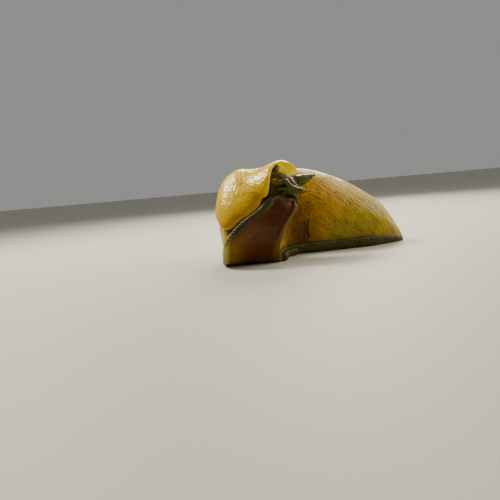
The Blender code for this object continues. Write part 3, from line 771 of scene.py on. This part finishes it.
def zonesOf():
    # how strong each tint is at every point: along is in mm from the tail, around in mm from the
    # back on the body and in half widths on the sole, and edge in mm from the free edge of the
    # mantle or the sole, negative beyond it
    number = np.interp(along, bodyKnots, np.arange(len(bodyKnots)))
    uneven = softNoise(co, 7.0, seed=71)
    across, height = np.abs(around), co[:, 2]
    left, right = (around > 0).astype(float), (around < 0).astype(float)
    onBody, onFoot, onMantle, onTentacle = (
        (kind == kinds[name]).astype(float) for name in ("body", "foot", "mantle", "tentacle"))

    def at(name):
        return bell(number, *zones["strongest"][name])

    def between(name):
        return smoothStep(*zones["between"][name], number)

    footEnd = place(foot["end"])
    rimWidth = 0.5 + 1.3 * np.maximum(right, smoothStep(2.6, 1.6, footEnd - along))
    puckerAlong, puckerAcross = zones["pucker"]
    puckers = np.abs(flatNoise(along / 0.7, around * 2.5, 1.0, seed=60))
    found = {
        # the body: golden towards the bend, olive low down at the rear, brown in the bend, darkened
        # there with painted shade of the reared front
        # the gold on the left at the turn is partly a painted glow of light through the flesh, which
        # lies in shade there
        "golden": at("golden") * bell(height, 20, 12) + left * at("goldenTurnGlow") + 0.15 * uneven,
        "olive": 0.7 * between("olive") * smoothStep(22, 6, height) + 0.25 * uneven,
        "bendBrownAndShade": left * at("bendBrownAndShade") * smoothStep(28, 10, height) + 0.12 * uneven,
        # painted shade in the crease at the bend, darker where it is deeper
        "crease": onBody * smoothStep(0.15, 0.45, -fine) * bell(along, relief["crease"][0], 3)
        * smoothStep(25, 28, around),
        # a painted sheen of the sky along the top of the back
        "paleSheen": 0.8 * smoothStep(15, 5, across) * (number < zones["paleSheenTo"]) + 0.1 * uneven,
        "keel": 0.7 * between("keel") * smoothStep(4.2, 1.2, across),
        "wan": right * at("wan") * smoothStep(26, 14, height),
        "neck": between("neck"),
        # painted shade, nearly black, in the crevice between the mantle's edge and the foot, low on the
        # right flank
        "creviceShade": right * between("creviceShade") * smoothStep(7, 12, across),
        # the mantle: deeper low down, deeper gold beside its margin on the right with painted shade
        # there, lemon at the hood and inside it
        "mantleLow": 0.8 * smoothStep(27, 14, height) + 0.15 * uneven,
        "mantleLapShade": 0.55 * onMantle * right * between("mantleLapShade") * smoothStep(3.6, 0.8, edge),
        "hood": between("hood"),
        # a painted highlight: a lighter line along the mantle's edge
        "marginHighlight": 0.8 * onMantle * smoothStep(0.45, 0.1, np.abs(edge)),
        # lemon inside the hood, partly its paler underside and partly painted light shining through the
        # thin hood
        "liningGlow": inner,
        # the foot: a dark sole, warm and olive low down where it is reared, with a darker rim
        "soleWarm": 0.8 * onFoot * at("soleWarm") * bell(around, -0.4, 0.7),
        "soleOlive": 0.1 * uneven + onFoot * (
            right * at("soleOlive") * smoothStep(9, 3, edge)
            + 0.6 * left * at("soleOliveLeft") * smoothStep(3.5, 1.2, edge)),
        "pucker": onFoot * bell(along, *puckerAlong) * bell(around, *puckerAcross)
        * smoothStep(0.16, 0.02, puckers),
        "rim": onFoot * between("rim") * (1 - left * between("rimLeft"))
        * smoothStep(1.25, 0.75, edge / rimWidth),
        # its fringe: green-grey, greyer and then paler down the right side of the reared part
        "fringe": onFoot * smoothStep(0.15, -0.15, edge),
        "fringeGrey": onFoot * right * (at("fringeGrey") + 0.6 * at("fringeGreyHigh"))
        * smoothStep(2.3, 1.2, edge),
        "fringePale": onFoot * right * at("fringePale") * smoothStep(2.6, 0.4, edge),
        "strip": onFoot * right * at("strip") * smoothStep(1.0, 0.2, edge),
        # painted shade in the corner of the foot at the inside of the bend, under the reared front
        "corner": onFoot * left * at("corner") * smoothStep(0.5, -0.2, edge),
        "flankFoot": onFoot * left * between("flankFoot") * between("flankFootEnd")
        * smoothStep(2.4, 0.5, edge),
        # the tentacles: their tan roots, brown tips and bluish tops, which are a painted reflection of
        # the sky on skin facing up
        "root": onTentacle * smoothStep(0.2, 0.12, along),
        "tip": onTentacle * smoothStep(0.82, 0.97, along % 10),
        "top": smoothStep(0.2, 0.9, normals[:, 2]) * smoothStep(-24, -17, co[:, 1]),
        # where the film of slime is thin
        "dull": 0.3 * onBody + onFoot * (right + left * at("dullLeft")) * smoothStep(1.6, 0.4, edge),
    }
    return {name: smoothed(np.clip(values, 0, 1), sides, skin["tintBlend"])
            for name, values in found.items()}


def keepMark(name, values):
    mark = mesh.attributes.new(name, "FLOAT", "POINT")
    mark.data.foreach_set("value", np.asarray(values, np.float32))


for name in ("foot", "mantle", "head", "tentacle", "lips"):
    keepMark(name + "Share", share[name])
for name, values in zonesOf().items():
    keepMark(name + "Zone", values)
# how deep the relief is, for the painted shade in its grooves
keepMark("groove", np.clip(-fine / skin["darkestShadeDepth"], 0, 1))
mesh.shade_smooth()


# Materials

def tone(code):
    # an sRGB hex value as linear light
    levels = [int(code[i:i + 2], 16) / 255 for i in (1, 3, 5)]
    return tuple(v / 12.92 if v <= 0.04045 else ((v + 0.055) / 1.055) ** 2.4 for v in levels) + (1.0,)


def setInputs(tree, node, inputs):
    # links what comes from another node, and sets colours and numbers
    for name, value in inputs.items():
        if isinstance(value, bpy.types.NodeSocket):
            tree.links.new(value, node.inputs[name])
        else:
            node.inputs[name].default_value = tone(value) if isinstance(value, str) else value


def addNode(tree, kind, settings=None, inputs=None):
    node = tree.nodes.new("ShaderNode" + kind)
    for name, value in (settings or {}).items():
        setattr(node, name, value)
    setInputs(tree, node, inputs or {})
    return node


def newMaterial(name, values):
    material = bpy.data.materials.new(name)
    material.use_nodes = True
    tree = material.node_tree
    shader = tree.nodes["Principled BSDF"]
    setInputs(tree, shader, values)
    return material, tree, shader


def addPattern(tree, kind, size, **inputs):
    # a pattern over the object, whose patches or cells have about that size in mm
    spot = addNode(tree, "TexCoord").outputs["Object"]
    return addNode(tree, kind, inputs={"Vector": spot, "Scale": 1 / (size * mm), **inputs})


def greyOf(tree, value):
    inputs = dict.fromkeys(("Red", "Green", "Blue"), value)
    return addNode(tree, "CombineColor", inputs=inputs).outputs[0]


skinLook = {
    # the body wall: the gold at the turn is partly a painted glow, the brown of the bend partly painted
    # shade, the pale of the back a painted sheen, and the crevice, groove and crease tints painted
    # shade
    "ochre": "#BC9C08", "golden": "#D09C00", "olive": "#9C9410", "bendBrownAndShade": "#84520A", "paleSheen": "#C8B070",
    "keel": "#BC8C1C", "wan": "#A89A3C", "creviceShade": "#1A0C00", "groove": "#3E2C00",
    "crease": "#381400", "neck": "#5A4210",
    # the mantle: its lap tint is partly painted shade, its margin a painted highlight, and its lemon
    # lining partly painted light shining through the hood
    "mantle": "#DCBC00", "mantleLow": "#C49A00", "mantleLapShade": "#A46A00", "hood": "#DCC000",
    "marginHighlight": "#E0B830", "liningGlow": "#FFF600",
    # the foot: the tints between the ribs and in the corner at the bend are painted shade
    "sole": "#4C1600", "soleWarm": "#743600", "soleOlive": "#8A6C00", "pucker": "#86704A",
    "rim": "#46421A", "fringe": "#4C4E22", "fringeGrey": "#42382C", "fringePale": "#B4A244",
    "strip": "#BCB070", "ribGapShade": "#140A02", "corner": "#2A1C08", "flankFoot": "#5E4600",
    # the head: the bluish top of the tentacles is a painted reflection of the sky
    "head": "#52481A", "tentacle": "#56562A", "root": "#A07E34", "top": "#5A6C78", "tip": "#8A5A2C",
}
skinFinish = {
    # how much painted shade darkens the grooves on the body and the mantle, and between the ribs
    "grooveShadeShares": {"body": 0.6, "mantle": 0.35, "foot": 0.65},
    "mottleSize": 3.846,  # mm, of the lighter and darker patches
    "mottle": (0.82, 1.08),  # their light
    "poreSize": 0.4348,  # mm, of pores and granules too fine for the mesh
    "filmSize": 1.111,  # mm, of the unevenness of the slime
    "bump": (0.42, 0.12),  # strength and height in mm
    "roughness": (0.17, 0.42),
    "dullness": 0.45,  # what is added to it where the film is thin
    "flesh": {
        "IOR": 1.35, "Specular Tint": "#FFE4B0",  # reflections are warm
        "Coat Weight": 0.35, "Coat Roughness": 0.12, "Coat IOR": 1.34, "Coat Tint": "#FFF2B4",
        "Subsurface Weight": 1.0, "Subsurface Radius": (1.0, 0.92, 0.1), "Subsurface Scale": 1.2 * mm,
    },
}


def makeSkinMaterial():
    # live slug skin, wet with mucus: flesh that light enters, under a clear and faintly yellow film
    # of slime, which gives small sharp highlights on every granule
    material, tree, shader = newMaterial("wetSlugSkin", skinFinish["flesh"])

    def mark(name):
        return addNode(tree, "Attribute", {"attribute_name": name}).outputs["Fac"]

    def blend(share, a, b, kind="MIX"):
        settings = {"data_type": "RGBA", "blend_type": kind}
        return addNode(tree, "Mix", settings, {0: share, 6: a, 7: b}).outputs[2]

    def ranged(value, low, high, toLow, toHigh):
        return addNode(tree, "MapRange", {"interpolation_type": "SMOOTHSTEP"}, {
            "Value": value, "From Min": low, "From Max": high, "To Min": toLow, "To Max": toHigh,
        }).outputs["Result"]

    def tinted(colour, *names):
        # tints laid over each other, each in its own zone
        for name in names:
            colour = blend(mark(name + "Zone"), colour, skinLook[name])
        return colour

    def shadedInGrooves(colour, name, low, tint):
        # painted shade in its grooves, darker where they are deeper
        most = skinFinish["grooveShadeShares"][name]
        return blend(ranged(groove, low, 1.0, 0.0, most), colour, skinLook[tint])

    groove = mark("groove")
    body = tinted(skinLook["ochre"], "golden", "olive", "paleSheen", "keel", "bendBrownAndShade", "wan", "crease")
    body = tinted(shadedInGrooves(body, "body", 0.1, "groove"), "neck", "creviceShade")
    cloak = tinted(skinLook["mantle"], "mantleLow", "mantleLapShade", "hood")
    cloak = tinted(shadedInGrooves(cloak, "mantle", 0.1, "golden"), "marginHighlight", "liningGlow")
    under = tinted(skinLook["sole"], "soleWarm", "soleOlive", "pucker", "rim", "fringe",
                   "fringeGrey", "fringePale", "strip")
    under = tinted(shadedInGrooves(under, "foot", 0.15, "ribGapShade"), "corner", "flankFoot")
    feeler = tinted(skinLook["tentacle"], "root", "top", "tip")
    colour = body
    for name, over in (("mantle", cloak), ("foot", under), ("head", skinLook["head"]),
                       ("tentacle", feeler), ("lips", skinLook["tentacle"])):
        colour = blend(mark(name + "Share"), colour, over)
    mottle = addPattern(tree, "TexNoise", skinFinish["mottleSize"], Detail=5.0)
    shade = ranged(mottle.outputs["Fac"], 0.35, 0.75, *skinFinish["mottle"])
    colour = blend(1.0, colour, greyOf(tree, shade), "MULTIPLY")
    pores = addPattern(tree, "TexVoronoi", skinFinish["poreSize"])
    film = addPattern(tree, "TexNoise", skinFinish["filmSize"], Detail=3.0).outputs["Fac"]
    uneven = addNode(tree, "Math", {"operation": "ADD"}, {0: pores.outputs["Distance"], 1: film})
    strength, depth = skinFinish["bump"]
    bump = addNode(tree, "Bump", inputs={
        "Height": uneven.outputs[0], "Strength": strength, "Distance": depth * mm})
    # the film is thin on the body and thinnest on parts of the fringe, which look duller
    rough = ranged(film, 0.3, 0.7, *skinFinish["roughness"])
    dull = addNode(tree, "Math", {"operation": "MULTIPLY_ADD"},
                   {0: mark("dullZone"), 1: skinFinish["dullness"], 2: rough})
    setInputs(tree, shader, {
        "Base Color": colour, "Normal": bump.outputs[0], "Roughness": dull.outputs[0]})
    return material


fleshNodes = [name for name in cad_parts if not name.startswith("eye")]
slug = addObject("slugSkin", mesh)
mesh.materials.clear()
mesh.materials.append(makeSkinMaterial())
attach(slug, "root")
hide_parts(*fleshNodes)

eyeLook = {
    "mottleSize": 0.4,  # mm
    "light": (0.008, 0.03),  # of its darkest and lightest places
    "finish": {"Roughness": 0.12, "IOR": 1.4},
}


def makeEyeMaterial():
    # the dark ball of an eye under clear wet skin, which gives it one small sharp highlight
    material, tree, shader = newMaterial("darkEyeBall", eyeLook["finish"])
    mottle = addPattern(tree, "TexNoise", eyeLook["mottleSize"]).outputs["Fac"]
    dark, light = eyeLook["light"]
    level = addNode(tree, "MapRange", inputs={"Value": mottle, "To Min": dark, "To Max": light})
    setInputs(tree, shader, {"Base Color": greyOf(tree, level.outputs[0])})
    return material


eyeMaterial = makeEyeMaterial()
for name in ("eye_left", "eye_right"):
    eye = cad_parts[name]
    eye.data.materials.clear()
    eye.data.materials.append(eyeMaterial)
print("materials made")


# The stage: a pale floor, soft studio light, and the photo's camera, in metres

stage = {
    "floorReach": 4.0,
    "floor": {"Base Color": "#B8B4A6", "Roughness": 0.6},
    "lens": 36.0,
    "nearest": 0.005,  # what the camera still sees
    "cameraPlace": (-0.025, -0.215, 0.03),
    "cameraPitch": 7.3,
    "cameraRoll": 5.0,
    "air": {"Color": "#E8E8E4", "Strength": 0.36},
    # place, aim, size, power, colour
    "lamps": [
        ((-0.2, 0.09, 0.27), (-0.01, -0.01, 0.02), 0.1, 1.8, "#FFF8EA"),
        ((0.3, 0.04, 0.22), (0.01, 0.0, 0.02), 0.35, 1.3, "#FFF8EA"),
        ((0.08, 0.34, 0.26), (0.0, -0.01, 0.03), 0.26, 2.2, "#FFF8E8"),
    ],
}


def makeStage():
    far = stage["floorReach"]
    corners = [(-far, -far, 0), (far, -far, 0), (far, far, 0), (-far, far, 0)]
    floor = makeObject("floor", corners, [(0, 1, 2, 3)])
    # matt paint, on which the shadows stay soft and plain
    floor.data.materials.append(newMaterial("palePaintedFloor", stage["floor"])[0])
    world = bpy.data.worlds.new("air")
    world.use_nodes = True
    bpy.context.scene.world = world
    setInputs(world.node_tree, world.node_tree.nodes["Background"], stage["air"])
    for number, (spot, aim, size, power, colour) in enumerate(stage["lamps"]):
        data = bpy.data.lights.new(f"softLamp{number}", "AREA")
        data.shape, data.size, data.energy, data.color = "DISK", size, power, tone(colour)[:3]
        lamp = addObject(data.name, data)
        lamp.location = spot
        lamp.rotation_euler = (Vector(aim) - Vector(spot)).to_track_quat("-Z", "Y").to_euler()


def makeCamera():
    data = bpy.data.cameras.new("camera")
    data.lens, data.clip_start = stage["lens"], stage["nearest"]
    camera = addObject("camera", data)
    pitch, roll = radians(stage["cameraPitch"]), radians(stage["cameraRoll"])
    forward, level = Vector((0, cos(pitch), -sin(pitch))), Vector((1, 0, 0))
    upright = level.cross(forward)
    right = level * cos(roll) - upright * sin(roll)
    up = upright * cos(roll) + level * sin(roll)
    turn = Matrix((right, up, -forward)).transposed().to_4x4()
    camera.matrix_world = Matrix.Translation(stage["cameraPlace"]) @ turn
    bpy.context.scene.camera = camera


makeStage()
makeCamera()
print("stage made")
